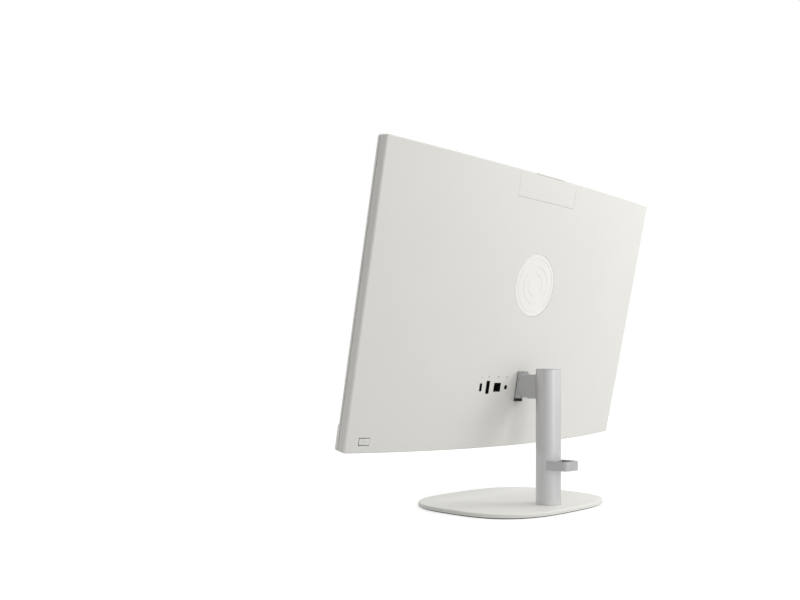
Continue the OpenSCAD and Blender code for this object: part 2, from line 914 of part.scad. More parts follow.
module base_foot_ring() {
    color("#2b2c2d") difference() {
        linear_extrude(foot_t) base_outline(foot_in);
        translate([0, 0, -cut]) linear_extrude(foot_t + 2 * cut) base_outline(foot_in + foot_band);
    }
}

// Rounded rectangle from the column back to the end of the clip.
module clip_plan(inset) {
    half = clip_half - inset;
    r = clip_corner - inset;
    end = clip_rear - inset;
    translate([-half, clip_front]) square([2 * half, end - r - clip_front]);
    translate([-half + r, clip_front]) square([2 * half - 2 * r, end - clip_front]);
    for (side = [-1, 1]) translate([side * (half - r), end - r]) circle(r = r);
}

module cable_clip() {
    color("#b0b1b2") translate([0, column_y, clip_low]) difference() {
        union() {
            linear_extrude(clip_h) difference() {
                clip_plan(0);
                translate([0, -cut]) clip_plan(band_t);
                translate([-clip_half + band_t, 0])
                    square([2 * (clip_half - band_t), clip_corner + clip_front]);
            }
            intersection() {
                cylinder(h = clip_h, r = column_r + saddle_t);
                translate([-clip_half + band_t / 2, clip_front, 0])
                    cube([2 * clip_half - band_t, clip_rear, clip_h]);
            }
        }
        translate([0, 0, -cut]) cylinder(h = clip_h + 2 * cut, r = column_r);
        rod_y(0, clip_h / 2, 1.6, 0, column_r + saddle_t + cut);
    }
}

module clip_screw() {
    z = clip_low + clip_h / 2;
    color("#6d7073") {
        rod_y(0, z, 1.6, column_y + bore_r - 1, column_y + column_r + saddle_t);
        rod_y(0, z, 2.8, column_y + column_r + saddle_t, column_y + column_r + saddle_t + 1);
    }
}

rear_cover();
camera_cover();
badge_disc();
middle_frame();
lcd_panel();
lcd_border();
backlight_tray();
chin_cover();
speaker_grille();
speaker_left();
speaker_right();
chassis_plate();
motherboard();
cpu_heat_plate();
heat_pipe();
fin_stack();
blower_housing();
fan_impeller();
memory_modules();
ssd_card();
wifi_card();
coin_cell();
antennas();
display_cable();
usb_c_socket();
hdmi_socket();
network_socket();
dc_jack();
usb_a_sockets();
audio_jack();
port_signs();
button_board();
power_button();
camera_rails();
camera_latch();
camera_body();
camera_back();
camera_cap();
camera_lens();
camera_board();
hinge_plate();
hinge_shroud();
hinge_boot();
hinge_screws();
cover_screws();
arm();
arm_side_covers();
arm_screws();
hinge_pin();
friction_washers();
column_tube();
column_cap();
column_foot();
base_screw();
base_cover();
base_weight();
base_foot_ring();
cable_clip();
clip_screw();
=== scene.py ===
"""Shells, finishes, stage and camera of an all-in-one desktop computer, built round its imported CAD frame.

The head's own frame has x across, y towards the rear and z up the slope; HEAD puts it in the row frame.
"""

import json
import math

import bmesh
import bpy
from mathutils import Matrix, Vector


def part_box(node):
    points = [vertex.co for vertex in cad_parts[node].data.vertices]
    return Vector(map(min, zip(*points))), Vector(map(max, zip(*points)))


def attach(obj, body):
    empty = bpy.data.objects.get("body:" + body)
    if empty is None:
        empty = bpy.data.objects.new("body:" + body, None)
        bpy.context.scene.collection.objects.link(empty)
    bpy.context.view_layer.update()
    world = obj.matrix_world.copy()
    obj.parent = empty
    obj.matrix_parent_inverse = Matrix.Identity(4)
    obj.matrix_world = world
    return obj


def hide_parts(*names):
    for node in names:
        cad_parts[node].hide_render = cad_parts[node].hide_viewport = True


bl_info = {
    "name": "All-in-one computer looks",
    "version": (1, 0, 0),
    "blender": (4, 5, 0),
    "location": "3D View > Sidebar > All-in-one",
    "description": "Builds the shells, stand, sockets, display and finishes of an all-in-one computer",
    "category": "Object",
}

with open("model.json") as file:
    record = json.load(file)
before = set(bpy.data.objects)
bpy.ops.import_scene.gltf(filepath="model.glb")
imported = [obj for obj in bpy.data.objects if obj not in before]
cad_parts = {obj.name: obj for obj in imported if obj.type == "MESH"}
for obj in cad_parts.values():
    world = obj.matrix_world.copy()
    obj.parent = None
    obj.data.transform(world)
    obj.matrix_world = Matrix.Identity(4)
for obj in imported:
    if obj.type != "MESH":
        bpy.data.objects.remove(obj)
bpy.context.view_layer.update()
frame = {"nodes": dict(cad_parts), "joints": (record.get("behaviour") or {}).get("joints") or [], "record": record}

MM = 0.001
JOINTS = {joint["name"]: joint for joint in frame["joints"]}

# The head's frame, from the hinge and two joint axes that run along it.
HINGE = Vector(JOINTS["head_tilt"]["pos_m"])
UP = Vector(JOINTS["camera_rise"]["axis"]).normalized()
REAR = Vector(JOINTS["fan_spin"]["axis"]).normalized()
HINGE_BACK = 38.4 * MM
HINGE_UP = 81.8 * MM
HEAD_ORIGIN = HINGE - REAR * HINGE_BACK - UP * HINGE_UP
HEAD = Matrix.Translation(HEAD_ORIGIN) @ Matrix((Vector((1, 0, 0)), REAR, UP)).transposed().to_4x4()
HEAD_BACK = HEAD.inverted()
ROW = Matrix.Identity(4)


def head_box(node):
    """Lowest and highest corner of a CAD node in the head's frame."""
    corners = [HEAD_BACK @ v.co for v in frame["nodes"][node].data.vertices]
    low = Vector([min(c[i] for c in corners) for i in range(3)])
    high = Vector([max(c[i] for c in corners) for i in range(3)])
    return low, high


def round_box(node):
    """Lowest and highest corner, middle and radius of a round CAD node in the head's frame."""
    low, high = head_box(node)
    return low, high, (low + high) / 2, (high.x - low.x) / 2


COVER_LOW, COVER_HIGH = head_box("rear_cover")
CAMERA_LOW, CAMERA_HIGH = head_box("camera_cover")
HEAD_W = COVER_HIGH.x - COVER_LOW.x
HEAD_H = COVER_HIGH.z
CROWN_LOW = COVER_HIGH.y
CROWN_SLOPE = (CAMERA_HIGH.y - CROWN_LOW) / CAMERA_LOW.z


def crown(z):
    """Depth of the rear surface's middle at height z."""
    return CROWN_LOW + CROWN_SLOPE * z


def rear_at(x, z):
    """Depth of the rear surface: a parabola across, straight up the slope."""
    return crown(z) * (1 - (2 * x / HEAD_W) ** 2)


def rear_normal(x, z):
    """Outward normal of the rear surface in the head's frame."""
    across = -8 * x * crown(z) / HEAD_W**2
    along = CROWN_SLOPE * (1 - (2 * x / HEAD_W) ** 2)
    return Vector((-across, 1, -along)).normalized()


# ---------------------------------------------------------------- sizes and colours


class AllInOneSizes(bpy.types.PropertyGroup):
    """Edge radii and small details of the shells."""

    corner: bpy.props.FloatProperty(
        name="Corner radius", description="Radius of the head's four corners",
        default=3 * MM, unit="LENGTH"
    )
    edge: bpy.props.FloatProperty(
        name="Edge radius", description="Radius between the rear surface and its sides",
        default=1.3 * MM, unit="LENGTH"
    )
    opening_edge: bpy.props.FloatProperty(
        name="Opening edge", description="Rounding of the edges of cut openings",
        default=0.12 * MM, unit="LENGTH"
    )
    trim_edge: bpy.props.FloatProperty(
        name="Trim edge", description="Rounding of small plastic and metal parts",
        default=0.4 * MM, unit="LENGTH"
    )
    base_edge: bpy.props.FloatProperty(
        name="Base edge", description="Radius of the base plate's upper edge",
        default=1.3 * MM, unit="LENGTH"
    )
    outline_steps: bpy.props.IntProperty(
        name="Outline steps", description="Points round the base's outline", default=240, min=48
    )


class AllInOneColours(bpy.types.PropertyGroup):
    """Main colours, in linear values."""

    shell: bpy.props.FloatVectorProperty(
        name="Shell", description="Moulded rear cover",
        default=(0.695, 0.686, 0.650), subtype="COLOR", size=3
    )
    speck: bpy.props.FloatVectorProperty(
        name="Specks", description="Sparse specks in the moulding",
        default=(0.46, 0.45, 0.42), subtype="COLOR", size=3
    )
    metal: bpy.props.FloatVectorProperty(
        name="Column", description="Satin anodised column",
        default=(0.66, 0.66, 0.664), subtype="COLOR", size=3
    )
    bracket: bpy.props.FloatVectorProperty(
        name="Bracket", description="Painted arm and shroud",
        default=(0.45, 0.45, 0.452), subtype="COLOR", size=3
    )
    badge: bpy.props.FloatVectorProperty(
        name="Badge", description="Glossy round badge",
        default=(0.84, 0.83, 0.79), subtype="COLOR", size=3
    )


class AllInOneStage(bpy.types.PropertyGroup):
    """Camera and light."""

    distance: bpy.props.FloatProperty(
        name="Distance", description="Camera to the column's axis", default=1.0766, unit="LENGTH"
    )
    bearing: bpy.props.FloatProperty(
        name="Bearing", description="Camera's bearing round the column",
        default=math.radians(35.05), subtype="ANGLE"
    )
    turn: bpy.props.FloatProperty(
        name="Turn", description="How far the camera looks past the column",
        default=math.radians(9.94), subtype="ANGLE"
    )
    height: bpy.props.FloatProperty(
        name="Height", description="Camera above the table", default=0.1671, unit="LENGTH"
    )
    lens: bpy.props.FloatProperty(name="Lens", description="Focal length in millimetres", default=38.09)
    lift: bpy.props.FloatProperty(
        name="Lift", description="Vertical shift that keeps uprights parallel", default=0.094
    )
    sky: bpy.props.FloatProperty(
        name="Sky", description="Strength of the soft surrounding light", default=1.0
    )
    key: bpy.props.FloatProperty(
        name="Key", description="Power of the key light", default=9.5, subtype="POWER"
    )
    strip: bpy.props.FloatProperty(
        name="Strip", description="Power of the strip light that the column mirrors",
        default=2.0, subtype="POWER"
    )
    top: bpy.props.FloatProperty(
        name="Top", description="Power of the light above", default=2.5, subtype="POWER"
    )
    glow: bpy.props.FloatProperty(
        name="Glow", description="Glow of the floor paper, seen but casting no light", default=0.5, min=0.0
    )
    flag: bpy.props.FloatProperty(
        name="Flag", description="How dark the flag beside the camera is",
        default=0.22, min=0.0, max=1.0
    )


# ---------------------------------------------------------------- mesh helpers


def linked(name, data):
    """New object in the scene."""
    obj = bpy.data.objects.new(name, data)
    bpy.context.scene.collection.objects.link(obj)
    return obj


def add_mesh(name, points, faces, place=ROW):
    """New object whose mesh is given by points and faces, closed and facing outwards."""
    mesh = bpy.data.meshes.new(name)
    mesh.from_pydata(points, [], faces)
    obj = linked(name, mesh)
    clean(obj)
    mesh.transform(place)
    return obj


def clean(obj):
    """Merges doubles and turns every face outwards."""
    work = bmesh.new()
    work.from_mesh(obj.data)
    bmesh.ops.remove_doubles(work, verts=work.verts, dist=1e-6)
    bmesh.ops.recalc_face_normals(work, faces=work.faces)
    work.to_mesh(obj.data)
    work.free()


def settle(obj):
    """Turns an object's modifiers into its mesh."""
    graph = bpy.context.evaluated_depsgraph_get()
    mesh = bpy.data.meshes.new_from_object(obj.evaluated_get(graph))
    obj.modifiers.clear()
    obj.data = mesh
    return obj


def cut(obj, tool):
    """Cuts tool out of obj, and removes tool."""
    step = obj.modifiers.new("boolean", "BOOLEAN")
    step.operation = "DIFFERENCE"
    step.solver = "EXACT"
    step.object = tool
    settle(obj)
    bpy.data.objects.remove(tool)


def join(name, objects):
    """One object from several, whose meshes don't touch."""
    work = bmesh.new()
    for obj in objects:
        work.from_mesh(obj.data)
        bpy.data.objects.remove(obj)
    mesh = bpy.data.meshes.new(name)
    work.to_mesh(mesh)
    work.free()
    return linked(name, mesh)


def skin_of(node_name):
    """A merged copy of a CAD node's mesh, with its flat faces whole again."""
    name = f"{node_name}_skin"
    work = bmesh.new()
    work.from_mesh(frame["nodes"][node_name].data)
    bmesh.ops.remove_doubles(work, verts=work.verts, dist=2e-6)
    bmesh.ops.dissolve_limit(work, angle_limit=math.radians(0.25), verts=work.verts, edges=work.edges)
    mesh = bpy.data.meshes.new(name)
    work.to_mesh(mesh)
    work.free()
    return linked(name, mesh)


def shade(obj, angle=38):
    """Smooth shading that keeps real corners and favours the large faces."""
    obj.data.shade_smooth()
    obj.data.set_sharp_from_angle(angle=math.radians(angle))
    step = obj.modifiers.new("normals", "WEIGHTED_NORMAL")
    step.keep_sharp = True
    return settle(obj)


def soften(obj, width, segments=2, angle=42):
    """Rounds an object's sharp edges."""
    step = obj.modifiers.new("soften", "BEVEL")
    step.width = width
    step.segments = segments
    step.limit_method = "ANGLE"
    step.angle_limit = math.radians(angle)
    settle(obj)
    return shade(obj)


def smooth_rear(obj):
    """Gives what lies on the rear surface that surface's exact normals."""
    mesh = obj.data
    turn = HEAD.to_3x3()
    normals = [Vector(corner.vector) for corner in mesh.corner_normals]
    for face in mesh.polygons:
        for loop in face.loop_indices:
            place = HEAD_BACK @ mesh.vertices[mesh.loops[loop].vertex_index].co
            if abs(place.y - rear_at(place.x, place.z)) > 0.03 * MM:
                continue
            exact = turn @ rear_normal(place.x, place.z)
            if exact.dot(face.normal) > 0.8:
                normals[loop] = exact
    mesh.normals_split_custom_set(normals)
    return obj


def rounded(low, high, radius, steps):
    """Outline of a rectangle with round corners."""
    outline = []
    for k, (sx, sz) in enumerate(((-1, -1), (1, -1), (1, 1), (-1, 1))):
        x = (low[0] if sx < 0 else high[0]) - sx * radius
        z = (low[1] if sz < 0 else high[1]) - sz * radius
        for i in range(steps + 1):
            a = math.radians(180 + 90 * k + 90 * i / steps)
            outline.append((x + radius * math.cos(a), z + radius * math.sin(a)))
    return outline


def circle(centre, radius, steps=64):
    """Outline of a circle."""
    turns = [2 * math.pi * i / steps for i in range(steps)]
    return [(centre[0] + radius * math.cos(a), centre[1] + radius * math.sin(a)) for a in turns]


def rear_ring(outline, height):
    """Ring of points at a height above the rear surface."""
    return [(x, rear_at(x, z) + height, z) for x, z in outline]


def prism(name, outline, start, end, axis="y", place=ROW):
    """Closed solid between start and end along x or y, with its outline drawn in the other two axes."""
    to_point = {"x": lambda a, b, c: (c, a, b), "y": lambda a, b, c: (a, c, b)}[axis]
    count = len(outline)
    points = [to_point(a, b, c) for c in (start, end) for a, b in outline]
    faces = [tuple(range(count)), tuple(range(2 * count - 1, count - 1, -1))]
    for i in range(count):
        j = (i + 1) % count
        faces.append((i, j, count + j, count + i))
    return add_mesh(name, points, faces, place)


def box(name, low, high, place=ROW):
    """Closed box from two corners."""
    (x0, y0, z0), (x1, y1, z1) = low, high
    return prism(name, [(x0, z0), (x1, z0), (x1, z1), (x0, z1)], y0, y1, "y", place)


def loft(name, rings, place=ROW, close=True):
    """Skin through rings of equally many points, with flat ends."""
    count = len(rings[0])
    points = [p for ring in rings for p in ring]
    faces = []
    for r in range(len(rings) - 1):
        for i in range(count):
            j = (i + 1) % count
            a, b = r * count, (r + 1) * count
            faces.append((a + i, a + j, b + j, b + i))
    if close:
        faces.append(tuple(range(count)))
        faces.append(tuple(range((len(rings) - 1) * count, len(rings) * count)))
    return add_mesh(name, points, faces, place)


def lathe(name, profile, centre, steps=96, place=ROW, axis="z"):
    """Solid of revolution about z or y from (radius, height) pairs, with flat ends."""
    x, y, z = centre
    rings = []
    for radius, height in profile:
        ring = circle((0, 0), max(radius, 1e-7), steps)
        if axis == "z":
            rings.append([(x + a, y + b, z + height) for a, b in ring])
        else:
            rings.append([(x + a, y + height, z + b) for a, b in ring])
    return loft(name, rings, place)


def deploy(obj, body, material, nodes=()):
    """Gives a finished piece its finish and body, and hides the CAD nodes that it stands for."""
    obj.data.materials.clear()
    obj.data.materials.append(material)
    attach(obj, body)
    if nodes:
        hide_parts(*nodes)
    return obj


# ---------------------------------------------------------------- repeated shapes


WAYS = ("across", "along")
TREES = {}  # each tree made so far, by the function that makes it


def plan(name, inputs):
    """New Geometry Nodes tree with typed inputs, and its input and output nodes."""
    tree = bpy.data.node_groups.new(name, "GeometryNodeTree")
    for label, kind in (("Geometry", "Geometry"), *inputs, ("Material", "Material")):
        tree.interface.new_socket(label, in_out="INPUT", socket_type=f"NodeSocket{kind}")
    tree.interface.new_socket("Geometry", in_out="OUTPUT", socket_type="NodeSocketGeometry")
    return tree, tree.nodes.new("NodeGroupInput"), tree.nodes.new("NodeGroupOutput")


def copies(tree, points, shape, turn=None):
    """Copies a shape to points, as plain geometry."""
    place = node(tree, "GeometryNodeInstanceOnPoints", Points=points, Instance=shape)
    if turn:
        tree.links.new(turn, place.inputs["Rotation"])
    return node(tree, "GeometryNodeRealizeInstances", Geometry=place.outputs[0]).outputs[0]


def finished(tree, source, sink, shape):
    """Ends a tree with its material."""
    made = node(tree, "GeometryNodeSetMaterial", Geometry=shape, Material=source.outputs["Material"])
    tree.links.new(made.outputs[0], sink.inputs[0])
    return tree


def grid_tree():
    """Tree that repeats a shape in a grid of two directions."""
    inputs = [(f"Count {way}", "Int") for way in WAYS] + [(f"Step {way}", "Vector") for way in WAYS]
    tree, source, sink = plan("repeat_grid", inputs)
    shape = source.outputs["Geometry"]
    for way in WAYS:
        count, step = source.outputs[f"Count {way}"], source.outputs[f"Step {way}"]
        line = node(tree, "GeometryNodeMeshLine", Count=count, Offset=step)
        shape = copies(tree, line.outputs[0], shape)
    return finished(tree, source, sink, shape)


def round_tree():
    """Tree that repeats a shape round the Y axis of its own frame."""
    tree, source, sink = plan("repeat_round", [("Count", "Int")])
    count = source.outputs["Count"]
    points = node(tree, "GeometryNodePoints", Count=count)
    share = maths(tree, "DIVIDE", node(tree, "GeometryNodeInputIndex").outputs[0], count)
    spin = node(tree, "ShaderNodeCombineXYZ", Y=maths(tree, "MULTIPLY", share, 2 * math.pi))
    shape = copies(tree, points.outputs[0], source.outputs["Geometry"], spin.outputs[0])
    return finished(tree, source, sink, shape)


def run_tree(obj, build, values, place=ROW):
    """Runs the tree that build makes on an object, with named input values."""
    if build not in TREES:
        TREES[build] = build()
    tree = TREES[build]
    step = obj.modifiers.new("repeat", "NODES")
    step.node_group = tree
    for item in tree.interface.items_tree:
        if item.in_out == "INPUT" and item.name in values:
            step[item.identifier] = values[item.name]
    settle(obj)
    obj.data.transform(place)
    return obj


def grid(obj, material, counts, across, along=(0, 0, 0), place=ROW):
    """Repeats obj counts[0] times by across and counts[1] times by along."""
    values = {"Material": material}
    for way, count, step in zip(WAYS, counts, (across, along)):
        values[f"Count {way}"], values[f"Step {way}"] = count, step
    return run_tree(obj, grid_tree, values, place)


# ---------------------------------------------------------------- finishes


def group(name, inputs, outputs):
    """New shader node group with named sockets, vectors where so called, and its in and out nodes."""
    tree = bpy.data.node_groups.new(name, "ShaderNodeTree")
    for way, labels in (("INPUT", inputs), ("OUTPUT", outputs)):
        for label in labels.split():
            kind = "Vector" if label in ("Vector", "Normal") else "Float"
            tree.interface.new_socket(label, in_out=way, socket_type=f"NodeSocket{kind}")
    return tree, tree.nodes.new("NodeGroupInput"), tree.nodes.new("NodeGroupOutput")


def node(tree, kind, settings=None, values=None, **fed):
    """Adds a node with settings and socket values, and feeds its named inputs."""
    made = tree.nodes.new(kind)
    for key, value in (settings or {}).items():
        setattr(made, key, value)
    for key, value in (values or {}).items():
        made.inputs[key].default_value = value
    for key, socket in fed.items():
        tree.links.new(socket, made.inputs[key.replace("_", " ")])
    return made


def maths(tree, operation, first, second):
    """Adds a maths node; each operand is a socket or a number."""
    made = tree.nodes.new("ShaderNodeMath")
    made.operation = operation
    for slot, value in enumerate((first, second)):
        if isinstance(value, (int, float)):
            made.inputs[slot].default_value = value
        else:
            tree.links.new(value, made.inputs[slot])
    return made.outputs[0]


def specks_group():
    """Mask of sparse round specks: one in some of the cells of a fixed pattern."""
    tree, source, sink = group("specks", "Vector Cells Size Share", "Mask")
    place, scale, size, share = source.outputs[:4]
    cells = node(tree, "ShaderNodeTexVoronoi", {"feature": "F1"}, Vector=place, Scale=scale)
    split = node(tree, "ShaderNodeSeparateColor", Color=cells.outputs["Color"])
    reach = maths(tree, "MULTIPLY", split.outputs[1], size)
    inside = maths(tree, "LESS_THAN", cells.outputs["Distance"], reach)
    some = maths(tree, "LESS_THAN", split.outputs[0], share)
    tree.links.new(maths(tree, "MULTIPLY", inside, some), sink.inputs[0])
    return tree


def grain_group():
    """Normal of a fine moulded or painted surface."""
    tree, source, sink = group("grain", "Vector Scale Strength", "Normal Height")
    place, scale, strength = source.outputs[:3]
    fine = node(tree, "ShaderNodeTexNoise", values={"Detail": 3.0}, Vector=place, Scale=scale)
    height = fine.outputs[0]
    bump = node(tree, "ShaderNodeBump", values={"Distance": 0.02 * MM}, Height=height, Strength=strength)
    tree.links.new(bump.outputs[0], sink.inputs[0])
    tree.links.new(height, sink.inputs[1])
    return tree


def wear_group():
    """Slow change of value across a surface, with light handling marks."""
    tree, source, sink = group("wear", "Vector Low High", "Factor")
    place, low, high = source.outputs[:3]
    noise = node(tree, "ShaderNodeTexNoise", values={"Scale": 14.0, "Detail": 4.0}, Vector=place).outputs[0]
    limits = {"From Min": 0.3, "From Max": 0.7}
    spread = node(tree, "ShaderNodeMapRange", values=limits, Value=noise, To_Min=low, To_Max=high)
    tree.links.new(spread.outputs[0], sink.inputs[0])
    return tree


def edge_highlight_group():
    """Mask of edges for a painted highlight, from how far a rounded normal turns from the true one."""
    tree, source, sink = group("edges", "Radius Strength", "Mask")
    true = node(tree, "ShaderNodeNewGeometry").outputs["Normal"]
    softened = node(tree, "ShaderNodeBevel", {"samples": 4}, Radius=source.outputs[0]).outputs[0]
    dot = node(tree, "ShaderNodeVectorMath", {"operation": "DOT_PRODUCT"})
    for slot, normal in enumerate((softened, true)):
        tree.links.new(normal, dot.inputs[slot])
    turned = maths(tree, "SUBTRACT", 1.0, dot.outputs["Value"])
    mask = maths(tree, "MULTIPLY", turned, source.outputs[1])
    mask.node.use_clamp = True
    tree.links.new(mask, sink.inputs[0])
    return tree


EFFECTS = {"specks": specks_group, "grain": grain_group, "wear": wear_group, "edges": edge_highlight_group}


def use(tree, name, values=None, **fed):
    """Adds a node group to a material."""
    if name not in bpy.data.node_groups:
        EFFECTS[name]()
    return node(tree, "ShaderNodeGroup", {"node_tree": bpy.data.node_groups[name]}, values, **fed)


def rgba(colour):
    """Four numbers from three."""
    return (*tuple(colour)[:3], 1.0)


def mix(tree, factor, first, second):
    """Mixes two colours, each a socket or three numbers."""
    made = node(tree, "ShaderNodeMix", {"data_type": "RGBA"})
    for slot, value in ((6, first), (7, second)):
        if isinstance(value, bpy.types.NodeSocket):
            tree.links.new(value, made.inputs[slot])
        else:
            made.inputs[slot].default_value = rgba(value)
    tree.links.new(factor, made.inputs[0])
    return made.outputs[2]


# Start of the name of every material made here; the CAD nodes bring plain ones under the bare names.
LOOK = "look_"


def begin(name, roughness, metallic=0.0, **extra):
    """New material with its Principled shader and an object coordinate socket."""
    made = bpy.data.materials.new(LOOK + name)
    made.use_nodes = True
    tree = made.node_tree
    shader = tree.nodes["Principled BSDF"]
    shader.inputs["Roughness"].default_value = roughness
    shader.inputs["Metallic"].default_value = metallic
    for key, value in extra.items():
        shader.inputs[key.replace("_", " ")].default_value = value
    place = tree.nodes.new("ShaderNodeTexCoord").outputs["Object"]
    return made, tree, shader, place


def slow(tree, place, low, high):
    """Value that changes slowly across the surface."""
    return use(tree, "wear", {"Low": low, "High": high}, Vector=place).outputs[0]


def toned(tree, place, colour, spread):
    """The colour, a little darker in places."""
    return mix(tree, slow(tree, place, 0.0, 1.0), tuple(c * (1 - spread) for c in colour), tuple(colour))


def feed(tree, shader, **fed):
    """Feeds the shader's named inputs."""
    for key, socket in fed.items():
        tree.links.new(socket, shader.inputs[key.replace("_", " ")])


def moulded(
    name, colour, roughness=0.5, speck=None, share=0.5, grain=2600.0, strength=0.35, spread=0.03, edge=0.0
):
    """Moulded plastic or matte paint: fine grain, slow tone changes, optional specks and an optional painted
    highlight along edges.
    """
    made, tree, shader, place = begin(name, roughness)
    texture = use(tree, "grain", {"Scale": grain, "Strength": strength}, Vector=place)
    shown = toned(tree, place, colour, spread)
    if speck is not None:
        for cells, size, opacity in ((520.0, 0.13, 0.2), (250.0, 0.14, 0.32)):
            dots = use(tree, "specks", {"Cells": cells, "Size": size, "Share": share}, Vector=place)
            shown = mix(tree, maths(tree, "MULTIPLY", dots.outputs[0], opacity), shown, tuple(speck))
    # Painted highlight: a lighter colour mixed in along the edges by the edge mask.
    if edge:
        rim = use(tree, "edges", {"Radius": 0.5 * MM, "Strength": edge})
        shown = mix(tree, rim.outputs[0], shown, tuple(min(1.0, c * 1.5 + 0.03) for c in colour))
    gloss = slow(tree, place, roughness - 0.03, roughness + 0.04)
    feed(tree, shader, Base_Color=shown, Roughness=gloss, Normal=texture.outputs["Normal"])
    return made


def metal(name, colour, roughness=0.35, stretch=(1, 1, 1), grain=1800.0, strength=0.2, spread=0.08):
    """Metal with a fine grain that can be drawn out along an axis, and slow changes of tone."""
    made, tree, shader, place = begin(name, roughness, 1.0)
    drawn = node(tree, "ShaderNodeMapping", values={"Scale": stretch}, Vector=place)
    texture = use(tree, "grain", {"Scale": grain, "Strength": strength}, Vector=drawn.outputs[0])
    streak = maths(tree, "MULTIPLY", maths(tree, "SUBTRACT", texture.outputs["Height"], 0.5), 0.12)
    gloss = maths(tree, "ADD", slow(tree, place, roughness - 0.04, roughness + 0.05), streak)
    shown = toned(tree, place, colour, spread)
    feed(tree, shader, Base_Color=shown, Roughness=gloss, Normal=texture.outputs["Normal"])
    return made


def glossy(name, colour, roughness=0.08, coat=0.6):
    """Polished plastic or glass with a faint film."""
    made, tree, shader, place = begin(name, roughness, Coat_Weight=coat, Coat_Roughness=0.03)
    film = slow(tree, place, roughness, roughness + 0.07)
    feed(tree, shader, Base_Color=toned(tree, place, colour, 0.03), Roughness=film)
    return made


def circuit(name, colour, track):
    """Solder mask with tracks and pads in a lighter colour."""
    made, tree, shader, place = begin(name, 0.32, Coat_Weight=0.3)
    lean = math.pi / 2 + math.acos(UP.z)
    turned = node(tree, "ShaderNodeMapping", values={"Rotation": (lean, 0, 0)}, Vector=place)
    values = {"Scale": 210.0, "Mortar Size": 0.05}
    values |= {"Color1": rgba((0, 0, 0)), "Color2": rgba((0.25, 0.25, 0.25)), "Mortar": rgba((1, 1, 1))}
    lines = node(tree, "ShaderNodeTexBrick", {"offset": 0.4}, values, Vector=turned.outputs[0])
    drawn = lines.outputs["Color"]
    bump = node(tree, "ShaderNodeBump", values={"Distance": 0.03 * MM, "Strength": 0.5}, Height=drawn)
    feed(tree, shader, Base_Color=mix(tree, drawn, colour, track), Normal=bump.outputs[0])
    return made


def display(name, colour, row):
    """Dark panel whose fine rows just show."""
    made, tree, shader, place = begin(name, 0.2, Coat_Weight=0.25)
    values = {"Scale": 580.0, "Distortion": 0.0}
    rows = node(tree, "ShaderNodeTexWave", {"bands_direction": "X"}, values, Vector=place)
    shown = mix(tree, rows.outputs["Fac"], colour, row)
    feed(tree, shader, Base_Color=shown, Roughness=slow(tree, place, 0.16, 0.26))
    return made


# Each finish: what makes it, its colour or the name of one in the colours' group, and the other values.
FINISHES = {
    "shell_white": (moulded, "shell", 0.52, "speck", 0.9, 1900.0, 0.5, 0.012),
    "frame_white": (moulded, (0.80, 0.79, 0.755), 0.46, {"spread": 0.015}),
    "base_white": (moulded, (0.71, 0.703, 0.667), 0.5, "speck", 0.9, 2100.0, 0.3, 0.015),
    "badge_gloss": (glossy, "badge", 0.07),
    "screen_glass": (display, (0.007, 0.008, 0.010), (0.012, 0.013, 0.016)),
    "border_black": (glossy, (0.006, 0.006, 0.007), 0.1, 0.4),
    "tray_grey": (moulded, (0.60, 0.61, 0.62), 0.4),
    # An "edge" value paints a lighter highlight along the part's edges.
    "grille_grey": (moulded, (0.10, 0.103, 0.108), 0.6, {"edge": 0.4}),
    "speaker_black": (moulded, (0.02, 0.02, 0.022), 0.55, {"edge": 0.3}),
    "chassis_steel": (metal, (0.55, 0.56, 0.57), 0.4, (1, 0.05, 1), 900.0),
    "board_green": (circuit, (0.012, 0.085, 0.04), (0.03, 0.17, 0.08)),
    "copper": (metal, (0.75, 0.38, 0.23), 0.3, (0.1, 1, 1), 1400.0),
    "fin_aluminium": (metal, (0.75, 0.76, 0.77), 0.3),
    "fan_black": (moulded, (0.022, 0.023, 0.025), 0.45, {"edge": 0.3}),
    "cell_steel": (metal, (0.72, 0.72, 0.73), 0.2),
    "antenna_gold": (metal, (0.72, 0.46, 0.14), 0.35),
    "ribbon": (moulded, (0.56, 0.47, 0.28), 0.4),
    "socket_black": (moulded, (0.012, 0.012, 0.013), 0.42, {"edge": 0.35}),
    "sign_grey": (moulded, (0.26, 0.26, 0.27), 0.5, {"grain": 4000.0, "strength": 0.1}),
    "rail_plastic": (moulded, (0.045, 0.045, 0.05), 0.45, {"edge": 0.25}),
    "lens_glass": (glossy, (0.006, 0.008, 0.014), 0.03, 1.0),
    "hinge_steel": (metal, (0.42, 0.43, 0.44), 0.38, (1, 1, 0.06), 1200.0),
    "shroud_grey": (moulded, "bracket", 0.42, {"grain": 3000.0, "strength": 0.25, "edge": 0.25}),
    "boot_black": (moulded, (0.010, 0.010, 0.011), 0.6),
    "screw_steel": (metal, (0.42, 0.43, 0.44), 0.3),
    "pin_steel": (metal, (0.6, 0.6, 0.61), 0.18, (0.05, 1, 1), 2000.0),
    "washer_brass": (metal, (0.62, 0.5, 0.28), 0.3),
    "column_silver": (metal, "metal", 0.46, (1, 1, 0.55), 2600.0, 0.55, 0.03),
    "clip_silver": (metal, (0.56, 0.56, 0.565), 0.36, (1, 1, 0.6), 2400.0, 0.4),
    "weight_steel": (metal, (0.32, 0.325, 0.33), 0.5),
    "foot_rubber": (moulded, (0.025, 0.025, 0.025), 0.8, {"strength": 0.6}),
    "contact_gold": (metal, (0.78, 0.58, 0.26), 0.25),
    "chip_black": (moulded, (0.015, 0.015, 0.017), 0.4, {"edge": 0.3}),
    # Painted shade for the walls of seams and openings in the rear surface.
    "gap_shade": (moulded, (0.17, 0.168, 0.16), 0.6),
    "icon_grey": (moulded, (0.42, 0.42, 0.41), 0.5),
}


